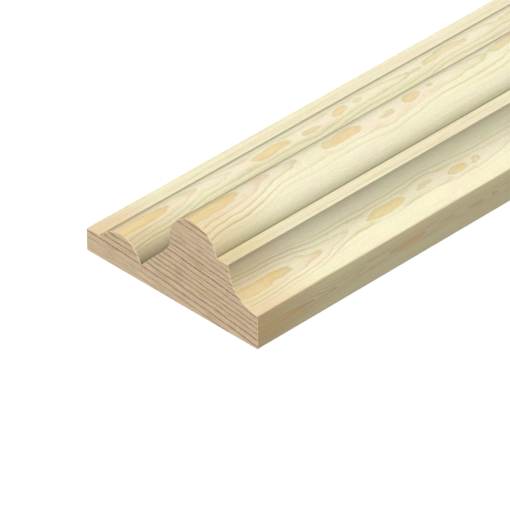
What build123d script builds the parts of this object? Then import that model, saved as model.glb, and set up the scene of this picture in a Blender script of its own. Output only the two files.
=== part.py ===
from build123d import *
import math
import os

# A dado rail: one straight length of softwood moulding, lying on its flat back.
# Millimetres. X runs along the rail, Y across its width toward the thin edge, Z up from the back.

# The piece as a whole
rail_length = 2400.0
rail_width = 60.0
rail_depth = 27.0

# The thin edge, with a narrow flat beside it
thin_edge_height = 6.7
thin_flat_width = 5.4

# The small bead, which rises from that flat and falls into a sharp groove
small_bead_radius = 7.4
small_bead_rise = 4.0
groove_depth = 5.8

# The slope from the groove turns up through a hollow into a short upright side below the large bead
hollow_radius = 7.0
upright_height = 0.4

# The large bead, the highest line of the rail
large_bead_radius = 8.2
large_bead_rise = 6.8

# The flat beyond the large bead, and the cove cut out of the thick edge
lip_width = 4.0
cove_radius = 10.1

# Long outer corners, eased so that they are not sharp in the hand
eased_corner_radius = 0.4


def half_chord(radius, rise):
    """Half the width of a bead where it stands the given rise out of a flat."""
    return math.sqrt(radius**2 - (radius - rise) ** 2)


# Lines across the width, from the thin edge to the thick one
thin_side = rail_width / 2
small_bead_start = thin_side - thin_flat_width
small_bead_centre = small_bead_start - half_chord(small_bead_radius, small_bead_rise)
groove_line = small_bead_centre - half_chord(small_bead_radius, groove_depth)
thick_side = -rail_width / 2
cove_line = thick_side + cove_radius
large_bead_end = cove_line + lip_width
large_bead_centre = large_bead_end + half_chord(large_bead_radius, large_bead_rise)
bead_side_line = large_bead_centre + large_bead_radius

# Heights above the back
small_bead_top = thin_edge_height + small_bead_rise
groove_height = small_bead_top - groove_depth
upright_top = rail_depth - large_bead_radius
upright_foot = upright_top - upright_height
lip_height = rail_depth - large_bead_rise
thick_edge_height = lip_height - cove_radius

# The straight slope starts at the groove's bottom and meets the hollow's arc where the two are in line
groove_bottom = Vector(groove_line, groove_height)
to_hollow_centre = Vector(bead_side_line + hollow_radius, upright_foot) - groove_bottom
slope_length = math.sqrt(to_hollow_centre.length**2 - hollow_radius**2)
slope_turn = math.degrees(math.asin(hollow_radius / to_hollow_centre.length))
slope_top = groove_bottom + to_hollow_centre.rotate(Axis.Z, slope_turn).normalized() * slope_length

with BuildPart() as dado_rail:
    with BuildSketch(Plane.YZ) as section:
        with BuildLine():
            # Lip flat, cove, thick edge, back, thin edge and thin flat
            Line((large_bead_end, lip_height), (cove_line, lip_height))
            RadiusArc((cove_line, lip_height), (thick_side, thick_edge_height), cove_radius)
            Polyline(
                (thick_side, thick_edge_height),
                (thick_side, 0),
                (thin_side, 0),
                (thin_side, thin_edge_height),
                (small_bead_start, thin_edge_height),
            )
            # Small bead, down into the groove
            ThreePointArc(
                (small_bead_start, thin_edge_height),
                (small_bead_centre, small_bead_top),
                groove_bottom,
            )
            # Slope, hollow and the upright below the large bead
            slope = Line(groove_bottom, slope_top)
            TangentArc(slope @ 1, (bead_side_line, upright_foot), tangent=slope % 1)
            Line((bead_side_line, upright_foot), (bead_side_line, upright_top))
            # Large bead, over its top and down to the lip
            ThreePointArc(
                (bead_side_line, upright_top),
                (large_bead_centre, rail_depth),
                (large_bead_end, lip_height),
            )
        make_face()
        # The four corners of the two long edges
        thick_corners = section.vertices().group_by(Axis.X)[0]
        thin_corners = section.vertices().group_by(Axis.X)[-1]
        fillet(thick_corners + thin_corners, radius=eased_corner_radius)
    extrude(amount=rail_length / 2, both=True)

dado_rail.part.label = "dado_rail"

os.makedirs("parts", exist_ok=True)
export_step(dado_rail.part, "parts/dado_rail.step")
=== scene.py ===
import math
from types import SimpleNamespace
from typing import NamedTuple

import bmesh
import bpy
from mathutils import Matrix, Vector


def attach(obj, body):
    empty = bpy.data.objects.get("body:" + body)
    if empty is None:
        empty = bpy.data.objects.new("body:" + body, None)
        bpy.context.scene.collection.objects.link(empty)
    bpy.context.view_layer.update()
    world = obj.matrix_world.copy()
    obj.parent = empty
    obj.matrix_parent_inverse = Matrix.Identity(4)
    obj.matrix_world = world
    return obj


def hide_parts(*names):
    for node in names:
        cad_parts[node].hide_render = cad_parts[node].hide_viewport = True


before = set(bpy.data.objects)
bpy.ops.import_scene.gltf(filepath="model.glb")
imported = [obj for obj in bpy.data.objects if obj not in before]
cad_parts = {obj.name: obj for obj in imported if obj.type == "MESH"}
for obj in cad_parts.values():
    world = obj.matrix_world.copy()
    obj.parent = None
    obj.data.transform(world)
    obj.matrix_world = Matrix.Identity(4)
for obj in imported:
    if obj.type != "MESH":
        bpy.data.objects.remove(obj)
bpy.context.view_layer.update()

MM = 0.001

# The section's sizes in millimetres, the same as in the CAD part
LENGTH, WIDTH, DEPTH = 2400.0, 60.0, 27.0
THIN_EDGE, THIN_FLAT = 6.7, 5.4
SMALL_R, SMALL_RISE, GROOVE = 7.4, 4.0, 5.8
HOLLOW_R, UPRIGHT = 7.0, 0.4
LARGE_R, LARGE_RISE = 8.2, 6.8
LIP, COVE_R = 4.0, 10.1
EASED = 0.4
# The saw's edge at each end is only just softened
END_EASED = 0.18

# How finely the mesh is cut: degrees for each step of an arc, and spans along a straight line
HOLLOW_STEP, BEAD_STEP, CORNER_STEP = 3.0, 2.0, 15.0
LIP_SPANS, FLAT_SPANS, SLOPE_SPANS, LENGTH_SPANS = 20, 25, 12, 12
# Edges that turn by more degrees than this stay sharp
SHARP_ANGLE = 28
# An offset corner moves no further than one over this, times the offset
MITRE_LIMIT = 0.6

# Painted shade across each face: the share of the face's width, then the shade that the wood's colour is multiplied
# by.
# The foot of a hollow, the top of the cove, the corner by the small bead and the far side of each bead are painted
# darker where less light reaches them, and values above 1 paint the tops of the beads a little lighter.
PLAIN = [(0, 1.0), (1, 1.0)]
LIP_SHADES = [(0, 0.5), (0.05, 0.92), (0.2, 0.95), (1, 0.95)]
COVE_SHADES = [
    (0, 0.66), (0.1, 0.76), (0.3, 0.79), (0.35, 0.82), (0.47, 0.91), (0.68, 1.0), (0.85, 0.97), (1, 0.97),
]
THICK_EDGE_SHADES = [(0, 0.9), (0.5, 0.92), (1, 0.97)]
THIN_FLAT_SHADES = [(0, 0.97), (0.8, 0.97), (0.84, 0.6), (1, 0.5)]
SMALL_BEAD_SHADES = [
    (0, 0.55), (0.1, 0.5), (0.16, 0.44), (0.21, 0.55), (0.245, 0.83), (0.28, 0.94), (0.34, 1.0), (0.4, 1.01),
    (0.5, 0.98), (0.55, 0.92), (0.6, 0.85), (0.65, 0.81), (0.7, 0.8), (0.75, 0.755), (0.79, 0.68), (0.84, 0.58),
    (0.88, 0.51), (0.91, 0.47), (0.95, 0.4), (0.985, 0.37), (1, 0.15),
]
RISE_SHADES = [(0, 0.3), (0.1, 0.7), (0.3, 0.95), (1, 1.0)]
LARGE_BEAD_SHADES = [
    (0, 0.75), (0.2, 0.6), (0.28, 0.42), (0.33, 0.54), (0.36, 0.78), (0.39, 0.91), (0.42, 0.97), (0.45, 1.0),
    (0.5, 1.01), (0.6, 1.01), (0.75, 1.02), (0.86, 1.0), (0.93, 0.82), (0.98, 0.62), (1, 0.3),
]

# What the mesh says of the two sawn ends and their softened edges: painted shade, figure, how far it is end grain.
# The softened edges are lighter than the end grain, partly from their mixed grain and partly as a painted
# highlight, and they take a little painted shade.
END_SHADE_AND_GRAIN = (1.0, 0.0, 1.0, 1.0)
END_EDGE_SHADE_AND_GRAIN = (0.95, 0.5, 0.6, 1.0)

# The sheet that the finish is baked on, from 0 to 1. Each half of the rail's length has its own band,
# and the two ends lie side by side at the foot of the sheet.
SHEET_MARGIN, BAND_LENGTH, BAND_HEIGHT = 0.01, 0.98, 0.41
NEAR_BAND, FAR_BAND = 0.15, 0.58
END_WIDTH, END_HEIGHT = 0.48, 0.12
NEAR_END_LEFT, FAR_END_LEFT = 0.01, 0.51


class Face(NamedTuple):
    """One face of the section."""

    run: list  # its points (y, z)
    middle: float  # the share of its width where the middle of the grain runs
    turn: float  # which way the grain turns across it, and how fast
    figure: float  # how clear the grain's figure is
    shades: list  # the painted shade across it


def half_chord(radius, rise):
    """Half the width of a bead where it stands the given rise out of a flat."""
    return math.sqrt(radius**2 - (radius - rise) ** 2)


def angle_of(centre, point):
    return math.degrees(math.atan2(point[1] - centre[1], point[0] - centre[0]))


def arc(centre, radius, start, end, step):
    """Points on an arc from one angle to another, in degrees."""
    count = max(3, round(abs(end - start) / step))
    angles = [math.radians(start + (end - start) * i / count) for i in range(count + 1)]
    return [(centre[0] + radius * math.cos(a), centre[1] + radius * math.sin(a)) for a in angles]


def line(start, end, count):
    """Points on a straight line, in the given number of spans."""
    return [
        (start[0] + (end[0] - start[0]) * i / count, start[1] + (end[1] - start[1]) * i / count)
        for i in range(count + 1)
    ]


def section():
    """The closed outline as faces, from the lip by the thick edge, the back and the thin edge to the large bead."""
    thin, thick = WIDTH / 2, -WIDTH / 2

    # Thin flat, small bead and groove
    flat_end = (thin - THIN_FLAT, THIN_EDGE)
    bead_1 = (thin - THIN_FLAT - half_chord(SMALL_R, SMALL_RISE), THIN_EDGE + SMALL_RISE - SMALL_R)
    groove = (bead_1[0] - half_chord(SMALL_R, GROOVE), THIN_EDGE + SMALL_RISE - GROOVE)
    small = arc(bead_1, SMALL_R, angle_of(bead_1, flat_end), angle_of(bead_1, groove), BEAD_STEP)

    # Lip, cove and large bead
    lip_z = DEPTH - LARGE_RISE
    cove = (thick, lip_z)
    cove_foot = (thick + EASED, lip_z - math.sqrt((COVE_R + EASED) ** 2 - EASED**2))
    lip_edge = (thick + COVE_R, lip_z)
    lip_start = (lip_edge[0] + LIP, lip_z)
    bead_2 = (lip_start[0] + half_chord(LARGE_R, LARGE_RISE), DEPTH - LARGE_R)
    large = arc(bead_2, LARGE_R, 0, angle_of(bead_2, lip_start), BEAD_STEP)

    # Slope from the groove, hollow and the short upright below the large bead
    side = bead_2[0] + LARGE_R
    hollow = (side + HOLLOW_R, bead_2[1] - UPRIGHT)
    reach = math.hypot(hollow[0] - groove[0], hollow[1] - groove[1])
    lean = math.radians(angle_of(groove, hollow)) + math.asin(HOLLOW_R / reach)
    run = math.sqrt(reach**2 - HOLLOW_R**2)
    slope_top = (groove[0] + run * math.cos(lean), groove[1] + run * math.sin(lean))
    bend = arc(hollow, HOLLOW_R, angle_of(hollow, slope_top), -180, HOLLOW_STEP)
    rise = line(groove, slope_top, SLOPE_SPANS) + bend[1:] + [(side, bead_2[1])]

    def eased(y, z, start, end):
        return Face(arc((y, z), EASED, start, end, CORNER_STEP), 0.5, 1, 0.0, PLAIN)

    return [
        Face(line(lip_start, lip_edge, LIP_SPANS), 0.6, 1, 0.4, LIP_SHADES),
        Face(arc(cove, COVE_R, 0, angle_of(cove, cove_foot), HOLLOW_STEP), 0.53, -1, 1.0, COVE_SHADES),
        eased(*cove_foot, angle_of(cove_foot, cove), 180),
        Face([(thick, cove_foot[1]), (thick, EASED)], 0.44, -0.8, 0.85, THICK_EDGE_SHADES),
        eased(thick + EASED, EASED, 180, 270),
        Face([(thick + EASED, 0), (thin - EASED, 0)], 0.45, 1, 1.0, PLAIN),
        eased(thin - EASED, EASED, 270, 360),
        Face([(thin, EASED), (thin, THIN_EDGE - EASED)], 0.5, 1, 0.5, PLAIN),
        eased(thin - EASED, THIN_EDGE - EASED, 0, 90),
        Face(line((thin - EASED, THIN_EDGE), flat_end, FLAT_SPANS), 0.53, 1, 0.4, THIN_FLAT_SHADES),
        Face(small, 0.48, 1, 1.0, SMALL_BEAD_SHADES),
        Face(rise, 0.5, 1, 0.8, RISE_SHADES),
        Face(large, 0.515, 1, 1.0, LARGE_BEAD_SHADES),
    ]


def between(pairs, share):
    """The value at a share, on straight lines from pair to pair."""
    for (a, low), (b, high) in zip(pairs, pairs[1:]):
        if share <= b:
            return low + (high - low) * (share - a) / (b - a)
    return pairs[-1][1]


def outline(faces):
    """Corner points of the section once each, the inward offset at each, the spans between them and the girth.

    A span is its face's number and its two ends. Each end is the place across the grain, the place round the
    section, the figure and the painted shade.
    """
    points, spans = [], []
    girth = 0.0
    for number, face in enumerate(faces):
        steps = [math.dist(a, b) for a, b in zip(face.run, face.run[1:])]
        width, along = sum(steps), 0.0
        for point, step in zip(face.run, steps):
            ends = [
                (
                    face.turn * (place / width - face.middle),
                    girth + place,
                    face.figure,
                    between(face.shades, place / width),
                )
                for place in (along, along + step)
            ]
            spans.append((number, ends))
            points.append(point)
            along += step
        girth += width
    inward = []
    for i, (y, z) in enumerate(points):
        back, front = points[i - 1], points[(i + 1) % len(points)]
        a = Vector((y - back[0], z - back[1])).normalized()
        b = Vector((front[0] - y, front[1] - z)).normalized()
        lean = (Vector((-a.y, a.x)) + Vector((-b.y, b.x))).normalized()
        inward.append(lean / max(MITRE_LIMIT, lean.dot(Vector((-a.y, a.x)))))
    return points, inward, spans, girth


def build_rail():
    """The rail as one closed mesh, with the grain's own coordinates and a map that gives each face its share."""
    points, inward, spans, girth = outline(section())
    count = len(points)
    half = LENGTH / 2
    inner = [-half + LENGTH * i / LENGTH_SPANS for i in range(1, LENGTH_SPANS)]
    rows = [-half, -half + END_EASED] + inner + [half - END_EASED, half]
    bm = bmesh.new()
    grid = []
    for x in rows:
        inset = END_EASED if abs(x) == half else 0.0
        ring = [
            bm.verts.new((x * MM, (y + n.x * inset) * MM, (z + n.y * inset) * MM))
            for (y, z), n in zip(points, inward)
        ]
        grid.append(ring)
    grain = bm.loops.layers.uv.new("grain")
    sheet = bm.loops.layers.uv.new("OFBake")
    # A colour attribute for the painted shade, the figure and how far a point is end grain
    painted_shade_and_grain = bm.loops.layers.float_color.new("painted_shade_and_grain")

    def on_sheet(x, around, far):
        u = (x + half) / half - (1 if far else 0)
        band = FAR_BAND if far else NEAR_BAND
        return (SHEET_MARGIN + BAND_LENGTH * u, band + BAND_HEIGHT * around / girth)

    # The long faces
    for r in range(len(rows) - 1):
        at_end = abs(rows[r]) == half or abs(rows[r + 1]) == half
        far = rows[r] + rows[r + 1] > 0
        for i in range(count):
            j = (i + 1) % count
            face = bm.faces.new((grid[r][i], grid[r][j], grid[r + 1][j], grid[r + 1][i]))
            face.smooth = not at_end
            number, (first, last) = spans[i]
            corners = ((rows[r], first), (rows[r], last), (rows[r + 1], last), (rows[r + 1], first))
            for loop, (x, (across, around, figure, shade)) in zip(face.loops, corners):
                loop[grain].uv = (across, number)
                # The softened end edges take a lighter colour, partly a painted highlight, and a little painted
                # shade
                loop[painted_shade_and_grain] = END_EDGE_SHADE_AND_GRAIN if at_end else (shade, figure, 0.0, 1.0)
                loop[sheet].uv = on_sheet(x, around, far)

    # The two sawn ends
    for ring, left in ((grid[0][::-1], NEAR_END_LEFT), (grid[-1], FAR_END_LEFT)):
        face = bm.faces.new(ring)
        for loop in face.loops:
            y, z = loop.vert.co.y / MM, loop.vert.co.z / MM
            loop[painted_shade_and_grain] = END_SHADE_AND_GRAIN
            loop[sheet].uv = (left + END_WIDTH * (y / WIDTH + 0.5), SHEET_MARGIN + END_HEIGHT * z / DEPTH)

    bmesh.ops.recalc_face_normals(bm, faces=bm.faces)
    mesh = bpy.data.meshes.new("rail")
    bm.to_mesh(mesh)
    bm.free()
    mesh.set_sharp_from_angle(angle=math.radians(SHARP_ANGLE))
    rail = bpy.data.objects.new("rail", mesh)
    bpy.context.scene.collection.objects.link(rail)
    return rail


def linear(red, green, blue):
    """A colour given as the screen shows it, 0 to 255, as the light it stands for."""

    def one(v):
        v /= 255
        return v / 12.92 if v <= 0.04045 else ((v + 0.055) / 1.055) ** 2.4

    return (one(red), one(green), one(blue), 1.0)


class Graph:
    """Short names for the shader nodes of one material or world."""

    def __init__(self, owner):
        owner.use_nodes = True
        self.tree = owner.node_tree
        self.tree.nodes.clear()

    def add(self, kind, **settings):
        node = self.tree.nodes.new(kind)
        for key, value in settings.items():
            setattr(node, key, value)
        return node

    def put(self, socket, value):
        """Link a socket to another one, or give it a plain value. None leaves it as it is."""
        if isinstance(value, bpy.types.NodeSocket):
            self.tree.links.new(value, socket)
        elif value is not None:
            socket.default_value = value

    def math(self, operation, a, b=None, c=None, clamp=False):
        node = self.add("ShaderNodeMath", operation=operation, use_clamp=clamp)
        for socket, value in zip(node.inputs, (a, b, c)):
            self.put(socket, value)
        return node.outputs[0]

    def scaled(self, a, factor, shift=0.0, clamp=False):
        return self.math("MULTIPLY_ADD", a, factor, shift, clamp)

    def times(self, a, b):
        return self.math("MULTIPLY", a, b)

    def plus(self, a, b):
        return self.math("ADD", a, b)

    def minus(self, a, b):
        return self.math("SUBTRACT", a, b)

    def fade(self, value, start, end, low=0.0, high=1.0):
        """From low at the start to high at the end, with both held beyond."""
        node = self.add("ShaderNodeMapRange", interpolation_type="SMOOTHSTEP")
        for socket, v in zip(node.inputs[:5], (value, start, end, low, high)):
            self.put(socket, v)
        return node.outputs[0]

    def split(self, vector):
        node = self.add("ShaderNodeSeparateXYZ")
        self.put(node.inputs[0], vector)
        return node.outputs

    def vector(self, x, y, z):
        node = self.add("ShaderNodeCombineXYZ")
        for socket, value in zip(node.inputs, (x, y, z)):
            self.put(socket, value)
        return node.outputs[0]

    def noise(self, where, detail=2.0, roughness=0.5):
        node = self.add("ShaderNodeTexNoise")
        self.put(node.inputs["Vector"], where)
        self.put(node.inputs["Scale"], 1.0)
        self.put(node.inputs["Detail"], detail)
        self.put(node.inputs["Roughness"], roughness)
        return node.outputs["Fac"]

    def swing(self, where, size, detail=2.0):
        """Noise about zero, from about minus size to size."""
        return self.scaled(self.noise(where, detail), 4 * size, -2 * size)

    def mix(self, factor, a, b, blend="MIX"):
        node = self.add("ShaderNodeMix", data_type="RGBA", blend_type=blend)
        self.put(node.inputs["Factor"], factor)
        self.put(node.inputs[6], a)
        self.put(node.inputs[7], b)
        return node.outputs[2]

    def tinted(self, colour, tint):
        return self.mix(1.0, colour, tint, "MULTIPLY")

    def dimmed(self, colour, value):
        return self.tinted(colour, self.vector(value, value, value))

    def ramp(self, factor, stops):
        """A value along straight lines between stops, each a place from 0 to 1 and the value there."""
        node = self.add("ShaderNodeValToRGB")
        while len(node.color_ramp.elements) < len(stops):
            node.color_ramp.elements.new(0.5)
        for element, (place, value) in zip(node.color_ramp.elements, stops):
            element.position = place
            element.color = (value, value, value, 1)
        self.put(node.inputs[0], factor)
        return node.outputs[0]

    def curve(self, value, points):
        """A smooth curve through points, each a place and a value from 0 to 1."""
        node = self.add("ShaderNodeFloatCurve")
        curve = node.mapping.curves[0]
        while len(curve.points) < len(points):
            curve.points.new(0.5, 0.5)
        for point, place in zip(curve.points, points):
            point.location = place
        node.mapping.update()
        self.put(node.inputs["Value"], value)
        return node.outputs[0]

    def drawn(self, along, points, low=0.0, span=1.0):
        """A curve over the near part of the rail, through points of x in mm and a value from low to low + span."""
        shares = [(x / NEAR, (value - low) / span) for x, value in points]
        return self.scaled(self.curve(self.scaled(along, 1 / NEAR), shares), span, low)


# The grain's ridge along the first 140 mm, in growth rings: x in mm, then height
NEAR = 140
RIDGE = [
    (0, 0.5), (7, 0.45), (13, 0.3), (16, 0.12), (18, 0.0), (22, -0.5), (27, -1.0), (33, -1.6), (38, -2.0),
    (42, -2.34), (46, -2.0), (48, -1.78), (50, -1.66), (52, -1.6), (55, -1.68), (57, -1.85), (58.5, -2.0),
    (61, -2.26), (64.5, -2.0), (67, -1.9), (69, -2.0), (72, -2.3), (74.5, -2.0), (76, -1.78), (77, -1.7),
    (78.5, -1.8), (80, -2.0), (82, -2.2), (84, -1.88), (86, -2.15), (90, -2.38), (96, -2.6), (101, -2.8),
    (105, -2.98), (107, -2.96), (112, -2.8), (118, -2.75), (123, -2.9), (126, -3.1), (131, -3.5), (140, -3.9),
]
# The same without its bumps, for the lines out on the flanks
TREND = [
    (0, 0.5), (9, 0.4), (18, -0.1), (27, -0.9), (38, -1.9), (46, -2.05), (60, -1.95), (75, -2.0), (90, -2.3),
    (105, -2.8), (120, -2.85), (140, -3.7),
]
# The lowest ring that the two curves reach, and how many rings they span
LOWEST, RIDGE_SPAN = -4.0, 5.0
# Where the ridge runs across the face there, as a share of the face's width from its middle
SWAY = [
    (0, -0.02), (6, -0.045), (14, -0.04), (20, -0.05), (27, -0.07), (33, -0.03), (38, 0.0), (46, 0.005),
    (54, -0.005), (60, 0.01), (67, 0.03), (73, 0.0), (78, -0.02), (85, -0.035), (95, -0.01), (105, 0.0),
    (115, -0.06), (124, -0.05), (131, -0.02), (140, 0.0),
]
# How amber the wood is at the ridge there
AMBER = [
    (0, 1.0), (15, 1.0), (18, 0.5), (21, 0.25), (24, 0.5), (27, 0.5), (30, 0.2), (43.5, 0.15), (46, 0.9),
    (58, 0.9), (60.5, 0.15), (63, 0.2), (65, 0.5), (69, 0.5), (71, 0.15), (73, 0.15), (75, 0.85), (79.5, 0.85),
    (81.5, 0.2), (83, 0.55), (85, 0.5), (87, 0.1), (104, 0.1), (108, 0.55), (112, 0.6), (117, 0.35),
    (122, 0.55), (125, 0.3), (128, 0.1), (140, 0.1),
]
# Over these lengths the near part of the grain gives way to one that noise makes
NEAR_FADES, FAR_STARTS = 128, 150
# How many rings the ridge falls over the width of a face, and how broad its rounded top is
RINGS_ACROSS, RIDGE_TOP = 16.5, 0.12
# Along one ring, from late wood round to late wood: how dark the line is, and how amber the space between
LATE = [(0.0, 1.0), (0.1, 0.8), (0.22, 0.35), (0.38, 0.1), (0.5, 0.0), (0.87, 0.0), (0.95, 0.5), (1.0, 1.0)]
HEART = [(0.0, 0.65), (0.1, 0.9), (0.35, 1.0), (0.5, 0.6), (0.7, 0.1), (0.8, 0.0), (0.92, 0.2), (1.0, 0.65)]

# Growth rings on the end, up from the bottom: height in mm, then how dark
RINGS = [
    (2.4, 0.3), (4.2, 0.55), (6.1, 0.8), (8.1, 0.8), (9.9, 0.75), (11.4, 0.8), (12.9, 0.75), (14.7, 0.7),
    (16.5, 1.0), (17.8, 0.45), (18.9, 1.0), (20.5, 0.8), (22.1, 0.7), (23.7, 0.3), (25.2, 0.25), (26.9, 0.7),
    (28.6, 0.9), (30.2, 0.8),
]
# The height that the list of rings spans, in mm, and how dark a ring is at its foot and top
RINGS_SPAN, RINGS_FOOT, RINGS_TOP = 32, 0.2, 0.8
# Across one ring of the end, from pale wood round to pale wood: how dark it is
RING = [(0.0, 0.0), (0.26, 0.0), (0.42, 0.4), (0.49, 1.0), (0.55, 1.0), (0.64, 0.25), (0.78, 0.0), (1.0, 0.0)]
# How the rings fall toward the thick edge: mm for each mm from the thin edge, and its square
RINGS_FALL, RINGS_BOW = 0.041, 0.00081

# The wood's colours
CREAM_HEART, CREAM_FLANK = linear(236, 229, 203), linear(241, 235, 203)
CREAM_GREEN, CREAM_PINK = linear(234, 234, 194), linear(241, 226, 202)
LATE_WOOD, LATE_WOOD_AT_END = linear(207, 193, 141), linear(196, 171, 126)
AMBER_RED, AMBER_YELLOW = linear(233, 201, 142), linear(229, 203, 136)
FIBRE_DARK, FIBRE_PALE = linear(222, 206, 166), linear(248, 244, 223)
STREAK = linear(222, 200, 152)
# The brown stain toward the near end, and the paler stain that it turns to where the painted shade is deep
STAIN_PALE, STAIN_IN_PAINTED_SHADE = (0.9, 0.79, 0.67, 1), (0.94, 0.85, 0.8, 1)
END_WOOD, END_PINK, END_GREEN = linear(228, 204, 170), linear(229, 199, 173), linear(221, 204, 160)
END_RING, END_THREAD = linear(138, 98, 66), linear(165, 125, 88)

# The finish of planed wood
SPECULAR, BUMP_STRENGTH, BUMP_HEIGHT = 0.1, 0.35, 0.12 * MM


def read_mesh(g):
    """What the material reads from the mesh. Lengths are in mm, and along runs from the near end."""
    place = g.split(g.add("ShaderNodeTexCoord").outputs["Object"])
    grain = g.split(g.add("ShaderNodeUVMap", uv_map="grain").outputs[0])
    # The colour attribute holds the painted shade, the figure and how far a point is end grain
    painted_shade_and_grain = g.add("ShaderNodeSeparateColor")
    g.put(painted_shade_and_grain.inputs[0], g.add("ShaderNodeAttribute", attribute_name="painted_shade_and_grain").outputs["Color"])
    return SimpleNamespace(
        along=g.scaled(place[0], 1 / MM, LENGTH / 2),
        y=g.scaled(place[1], 1 / MM),
        z=g.scaled(place[2], 1 / MM),
        across=grain[0],
        face=grain[1],
        shade=painted_shade_and_grain.outputs[0],
        figure=painted_shade_and_grain.outputs[1],
        at_end=painted_shade_and_grain.outputs[2],
    )


def growth(g, at, seed):
    """The grain of a long face: a wavy ridge seen from above, whose contours are the late wood.

    Gives the distance from the ridge, how far a point is late wood, how strong its line is, and how amber it is.
    """
    along, across, face = at.along, at.across, at.face
    far = g.fade(along, NEAR_FADES, FAR_STARTS)
    near = g.minus(1.0, far)
    own = g.times(seed, far)

    # Where the ridge runs
    sway_near = g.drawn(along, SWAY, -0.5)
    sway_far = g.swing(g.vector(g.scaled(along, 1 / 30), 0.3, seed), 0.05)
    sway = g.plus(g.times(sway_near, near), g.times(sway_far, far))
    shake = g.swing(g.vector(g.scaled(along, 1 / 6), g.scaled(across, 5.0), own), 0.008)
    off = g.minus(across, g.plus(sway, shake))
    flank = g.math("ABSOLUTE", off)
    outer = g.fade(flank, 0.07, 0.17)

    # How high it is, in rings
    near_ridge = g.drawn(along, RIDGE, LOWEST, RIDGE_SPAN)
    trend = g.drawn(along, TREND, LOWEST, RIDGE_SPAN)
    near_ridge = g.plus(near_ridge, g.times(outer, g.minus(trend, near_ridge)))
    hills = g.swing(g.vector(g.scaled(along, 1 / 95), 4.0, seed), 3.4, 1.0)
    humps = g.swing(g.vector(g.scaled(along, 1 / 17), 9.0, seed), 0.42, 1.0)
    far_ridge = g.scaled(g.plus(hills, humps), 1.0, -2.4)
    ridge = g.plus(g.times(near_ridge, near), g.times(far_ridge, far))

    # How it falls to each side, with uneven edges
    bend = g.math("SQRT", g.math("MULTIPLY_ADD", off, off, RIDGE_TOP**2))
    fall = g.scaled(bend, RINGS_ACROSS, -RIDGE_TOP * RINGS_ACROSS)
    rough_edge = g.swing(
        g.vector(g.scaled(along, 1 / 2.6), g.scaled(across, 14.0), g.scaled(face, 3.1)), 0.06
    )
    lump = g.swing(g.vector(g.scaled(along, 1 / 5), g.scaled(across, 9.0), g.scaled(face, 5.3)), 0.22)
    lump = g.times(lump, g.minus(1.0, outer))
    height = g.plus(g.minus(ridge, fall), g.plus(rough_edge, lump))
    phase = g.math("FRACT", height)
    late = g.ramp(phase, LATE)

    # Amber between the lines, near the ridge
    centre = g.fade(flank, 0.085, 0.12, 1.0, 0.0)
    mottle = g.noise(g.vector(g.scaled(along, 1 / 2.2), g.scaled(across, 12.0), seed), 2.0)
    mottle = g.fade(mottle, 0.3, 0.7, 0.72, 1.0)
    ripe = g.plus(g.times(g.drawn(along, AMBER), near), g.scaled(far, 0.7))
    amber = g.times(g.ramp(phase, HEART), g.times(mottle, g.times(centre, ripe)))

    # The lines are clearest near the ridge and the near end, and weak where the wood is amber
    near_end = g.fade(along, 4, 42, 1.0, 0.0)
    reach = g.plus(g.scaled(near_end, 0.13, 0.15), g.times(g.math("SIGN", off), 0.03))
    inside = g.fade(g.minus(flank, reach), 0.0, 0.1, 1.0, 0.0)
    which = g.noise(g.vector(g.scaled(g.math("FLOOR", height), 0.77), seed, g.scaled(along, 1 / 45)), 0.0)
    uneven = g.fade(which, 0.35, 0.6, 0.45, 1.0)
    strength = g.times(inside, g.times(uneven, g.scaled(near_end, 0.03, 0.8)))
    strength = g.times(strength, g.scaled(amber, -0.75, 1.0))
    return SimpleNamespace(flank=flank, near_end=near_end, late=late, strength=strength, amber=amber)


def long_wood(g, at, ring, fibre, painted_shade_depth):
    """The colour of the long faces: cream wood, amber, late wood, fibres and specks."""
    along, y, z, figure = at.along, at.y, at.z, at.figure
    tint = g.noise(g.vector(g.scaled(along, 1 / 16), g.scaled(y, 1 / 3.5), g.scaled(z, 1 / 3.5)), 3.0)
    cream = g.mix(g.fade(ring.flank, 0.04, 0.26), CREAM_HEART, CREAM_FLANK)
    cream = g.mix(g.fade(tint, 0.5, 0.72, 0.0, 0.6), cream, CREAM_GREEN)
    cream = g.mix(g.fade(tint, 0.5, 0.28, 0.0, 0.6), cream, CREAM_PINK)

    # Toward the near end the wood is browner, and this brown stain is weaker where the painted shade is deep
    stain_with_shade_tint = g.mix(g.scaled(painted_shade_depth, 1.8, clamp=True), STAIN_PALE, STAIN_IN_PAINTED_SHADE)
    colour = g.mix(g.fade(along, 0, 27, 1.0, 0.0), cream, g.tinted(cream, stain_with_shade_tint))

    amber = g.mix(g.fade(tint, 0.35, 0.65), AMBER_RED, AMBER_YELLOW)
    colour = g.mix(g.times(ring.amber, figure), colour, amber)
    lines = g.mix(ring.near_end, LATE_WOOD, LATE_WOOD_AT_END)
    colour = g.mix(g.times(g.times(ring.late, ring.strength), figure), colour, lines)

    # Fibres: fine straight streaks along the length, with broader ones on the narrow flats
    colour = g.mix(g.fade(fibre, 0.5, 0.8, 0.0, 0.4), colour, FIBRE_DARK)
    colour = g.mix(g.fade(fibre, 0.5, 0.2, 0.0, 0.4), colour, FIBRE_PALE)
    streak = g.noise(g.vector(g.scaled(along, 1 / 35), g.scaled(y, 2.3), g.scaled(z, 2.3)), 2.0, 0.6)
    narrow = g.times(g.fade(streak, 0.5, 0.68), g.fade(figure, 0.7, 0.5, 0.0, 0.5))
    colour = g.mix(narrow, colour, STREAK)

    speckle = g.noise(g.vector(g.scaled(along, 1.1), g.scaled(y, 3.4), g.scaled(z, 3.4)), 1.0, 0.7)
    return g.dimmed(colour, g.fade(speckle, 0.3, 0.7, 0.965, 1.03))


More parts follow.
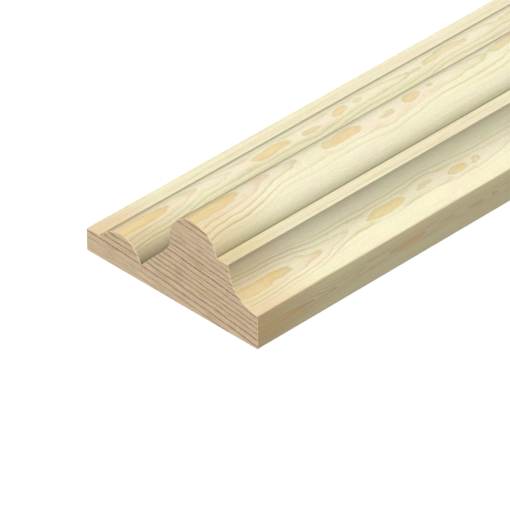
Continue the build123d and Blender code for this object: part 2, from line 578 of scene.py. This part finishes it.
def end_wood(g, at):
    """End grain: the rings cut square, nearly flat and falling toward the thick edge.

    Gives the colour, and for the relief how far a point is dark ring and the specks.
    """
    y, z = at.y, at.z
    side = g.scaled(y, -1.0, WIDTH / 2)
    slant = g.times(side, g.scaled(side, RINGS_BOW, RINGS_FALL))
    ripple = g.swing(g.vector(g.scaled(y, 1 / 9), g.scaled(z, 1 / 4), 2.0), 0.14)
    jitter = g.swing(g.vector(g.scaled(y, 1.6), g.scaled(z, 1.6), 5.0), 0.1)
    level = g.plus(g.plus(z, slant), g.plus(ripple, jitter))
    share = g.scaled(level, 1 / RINGS_SPAN)

    # The curve counts the rings up the height, and half a ring puts each dark line at a ring's middle
    steps = len(RINGS) + 1
    marks = [(r / RINGS_SPAN, (i + 1) / steps) for i, (r, dark) in enumerate(RINGS)]
    counted = g.curve(share, [(0.0, 0.0)] + marks + [(1.0, 1.0)])
    ring = g.ramp(g.math("FRACT", g.scaled(counted, steps, 0.5)), RING)
    darks = [(r / RINGS_SPAN, dark) for r, dark in RINGS]
    strength = g.curve(share, [(0.0, RINGS_FOOT)] + darks + [(1.0, RINGS_TOP)])

    # The rings are broken up, and weak in the low corner by the thin edge
    broken = g.noise(g.vector(g.scaled(y, 1 / 3), g.scaled(level, 1.3), 3.0), 2.0)
    strength = g.times(strength, g.fade(broken, 0.3, 0.6, 0.55, 1.0))
    corner = g.times(g.fade(z, 3.0, 6.0, 1.0, 0.0), g.fade(y, 4.0, 16.0, 0.0, 1.0))
    strength = g.times(strength, g.scaled(corner, -0.7, 1.0))

    blotch = g.noise(g.vector(g.scaled(y, 1 / 7), g.scaled(z, 1 / 5), 7.0), 2.0)
    colour = g.mix(g.fade(blotch, 0.5, 0.75, 0.0, 0.7), END_WOOD, END_PINK)
    colour = g.mix(g.fade(blotch, 0.48, 0.25, 0.0, 0.7), colour, END_GREEN)
    colour = g.mix(g.times(ring, strength), colour, END_RING)
    threads = g.noise(g.vector(g.scaled(y, 1 / 6), g.scaled(level, 3.2), 4.0), 2.0, 0.7)
    colour = g.mix(g.fade(threads, 0.5, 0.75, 0.0, 0.6), colour, END_THREAD)
    colour = g.dimmed(colour, g.fade(threads, 0.3, 0.6, 1.08, 0.95))
    speck = g.noise(g.vector(g.scaled(y, 4.0), g.scaled(z, 4.0), 1.0), 2.0, 0.7)
    colour = g.dimmed(colour, g.fade(speck, 0.3, 0.7, 1.1, 0.86))
    return colour, ring, speck


def shading(g, at, painted_shade_depth):
    """The painted shade: a tint that darkens the wood where little light falls. It is warmer where the painted
    shade is deepest.
    """
    # Painted shade is warmer on faces that look up or toward the thin edge, and the thick edge itself is tinted
    # warmer
    facing = g.split(g.add("ShaderNodeNewGeometry").outputs["Normal"])[1]
    warm = g.times(painted_shade_depth, g.fade(facing, -0.25, -0.05))
    turned = g.fade(at.y, -WIDTH / 2 + 0.1, -WIDTH / 2 + 0.5, 1.0, 0.0)
    turned = g.times(turned, g.minus(1.0, at.at_end))

    green = g.times(at.shade, g.fade(painted_shade_depth, 0.65, 0.85, 1.0, 0.92))
    green = g.times(green, g.scaled(warm, -0.12, 1.0))
    green = g.times(green, g.scaled(turned, -0.06, 1.0))
    blue = g.ramp(painted_shade_depth, [(0.0, 1.0), (0.3, 0.96), (0.55, 0.98), (0.65, 0.98), (0.85, 0.55), (1.0, 0.55)])
    blue = g.times(g.times(at.shade, blue), g.scaled(warm, -0.35, 1.0))
    blue = g.times(blue, g.scaled(turned, -0.18, 1.0))
    return g.vector(at.shade, green, blue)


def pine():
    """Planed pine, with end grain on the sawn ends, darkened by painted shade."""
    material = bpy.data.materials.new("pine")
    g = Graph(material)
    at = read_mesh(g)
    seed = g.scaled(at.face, 17.3)
    # How deep the painted shade is, from 0 where it is fully lit
    painted_shade_depth = g.minus(1.0, at.shade)
    fibre = g.vector(g.scaled(at.along, 1 / 14), g.scaled(at.y, 3.1), g.scaled(at.z, 3.1))
    fibre = g.noise(fibre, 3.0, 0.6)
    ring = growth(g, at, seed)
    long_colour = long_wood(g, at, ring, fibre, painted_shade_depth)
    end_colour, end_ring, speck = end_wood(g, at)
    # The painted shade darkens the wood's colour
    colour = g.tinted(g.mix(at.at_end, long_colour, end_colour), shading(g, at, painted_shade_depth))

    relief = g.plus(g.scaled(fibre, 0.6), g.times(ring.late, 0.35))
    end_relief = g.plus(g.scaled(speck, 0.8), g.scaled(end_ring, 0.4))
    bump = g.add("ShaderNodeBump")
    g.put(bump.inputs["Strength"], BUMP_STRENGTH)
    g.put(bump.inputs["Distance"], BUMP_HEIGHT)
    long_part = g.times(relief, g.minus(1.0, at.at_end))
    g.put(bump.inputs["Height"], g.plus(long_part, g.times(end_relief, at.at_end)))

    shader = g.add("ShaderNodeBsdfPrincipled")
    g.put(shader.inputs["Base Color"], colour)
    g.put(shader.inputs["Roughness"], g.math("MAXIMUM", g.scaled(fibre, 0.12, 0.6), g.scaled(at.at_end, 0.78)))
    g.put(shader.inputs["Specular IOR Level"], SPECULAR)
    g.put(shader.inputs["Normal"], bump.outputs[0])
    g.put(g.add("ShaderNodeOutputMaterial").inputs["Surface"], shader.outputs[0])
    return material


def seen(g):
    """1 where a ray comes from the camera, a reflection or clear material, and 0 where it carries light."""
    path = g.add("ShaderNodeLightPath")
    either = g.math("MAXIMUM", path.outputs["Is Camera Ray"], path.outputs["Is Glossy Ray"])
    return g.math("MAXIMUM", either, path.outputs["Is Transmission Ray"])


# The floor reaches this far from the middle, in metres, and lies just below the rail
FLOOR_REACH, FLOOR_Z = 20.0, -0.05 * MM
# Its grey where it throws light on the rail, and its grey and glow where it is seen
FLOOR_LIT, FLOOR_SEEN, FLOOR_GLOW = (0.15, 0.15, 0.15, 1), (0.45, 0.45, 0.45, 1), 0.6
# The world's strength where it lights the rail, and where it is seen as white
WORLD_LIT, WORLD_SEEN = 0.1, 1.0


def build_floor():
    """A level floor that shows white and takes the rail's shadow."""
    low, high = -FLOOR_REACH, FLOOR_REACH
    corners = [(low, low, FLOOR_Z), (high, low, FLOOR_Z), (high, high, FLOOR_Z), (low, high, FLOOR_Z)]
    mesh = bpy.data.meshes.new("floor")
    mesh.from_pydata(corners, [], [(0, 1, 2, 3)])
    floor = bpy.data.objects.new("floor", mesh)
    bpy.context.scene.collection.objects.link(floor)

    material = bpy.data.materials.new("floor")
    g = Graph(material)
    lit = g.add("ShaderNodeBsdfDiffuse")
    g.put(lit.inputs["Color"], FLOOR_LIT)
    pale = g.add("ShaderNodeBsdfDiffuse")
    g.put(pale.inputs["Color"], FLOOR_SEEN)
    glow = g.add("ShaderNodeEmission")
    g.put(glow.inputs["Strength"], FLOOR_GLOW)
    both = g.add("ShaderNodeAddShader")
    g.put(both.inputs[0], pale.outputs[0])
    g.put(both.inputs[1], glow.outputs[0])
    pick = g.add("ShaderNodeMixShader")
    g.put(pick.inputs[0], seen(g))
    g.put(pick.inputs[1], lit.outputs[0])
    g.put(pick.inputs[2], both.outputs[0])
    g.put(g.add("ShaderNodeOutputMaterial").inputs["Surface"], pick.outputs[0])
    mesh.materials.append(material)


def add_lamp(name, strength, angle, where):
    """A distant lamp that shines from the given direction, as broad as the angle in degrees."""
    lamp = bpy.data.lights.new(name, "SUN")
    lamp.energy = strength
    lamp.angle = math.radians(angle)
    sun = bpy.data.objects.new(name, lamp)
    sun.rotation_euler = Vector(where).to_track_quat("Z", "Y").to_euler()
    bpy.context.scene.collection.objects.link(sun)


def build_light():
    """A broad lamp from the near end and above, a weaker low one from the far end and the thin edge's side,
    and a faint even fill from a white world."""
    add_lamp("key", 3.6, 40, (-0.65, -0.38, 0.87))
    add_lamp("fill", 1.4, 60, (0.85, 0.5, 0.12))
    world = bpy.data.worlds.new("studio")
    g = Graph(world)
    sky = g.add("ShaderNodeBackground")
    g.put(sky.inputs["Color"], (1, 1, 1, 1))
    g.put(sky.inputs["Strength"], g.scaled(seen(g), WORLD_SEEN - WORLD_LIT, WORLD_LIT))
    g.put(g.add("ShaderNodeOutputWorld").inputs["Surface"], sky.outputs[0])
    bpy.context.scene.world = world


# The camera's place from the near end's middle, in metres, where it looks, in degrees, and its lens:
# a focal length of so many pixels, in a picture so many pixels wide
CAMERA_FROM_END = (-0.894104, -0.920128, 0.914913)
CAMERA_AZIMUTH, CAMERA_ELEVATION = -45.1, 35.1
FOCAL_PIXELS, PICTURE_PIXELS = 6400, 510
SENSOR_WIDTH, CLIP_END = 36.0, 200.0


def build_camera():
    """A long lens from the near end, placed by the corners that the photograph shows."""
    lens = bpy.data.cameras.new("camera")
    lens.sensor_width = SENSOR_WIDTH
    lens.lens = SENSOR_WIDTH * FOCAL_PIXELS / PICTURE_PIXELS
    lens.clip_end = CLIP_END
    camera = bpy.data.objects.new("camera", lens)
    x, y, z = CAMERA_FROM_END
    camera.location = (-LENGTH / 2 * MM + x, y, z)
    camera.rotation_euler = (math.radians(90) - math.radians(CAMERA_ELEVATION), 0, math.radians(CAMERA_AZIMUTH))
    bpy.context.scene.collection.objects.link(camera)
    bpy.context.scene.camera = camera


rail = build_rail()
rail.data.materials.append(pine())
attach(rail, "root")
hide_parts("dado_rail")
build_floor()
build_light()
build_camera()
bpy.context.scene.view_settings.view_transform = "Standard"
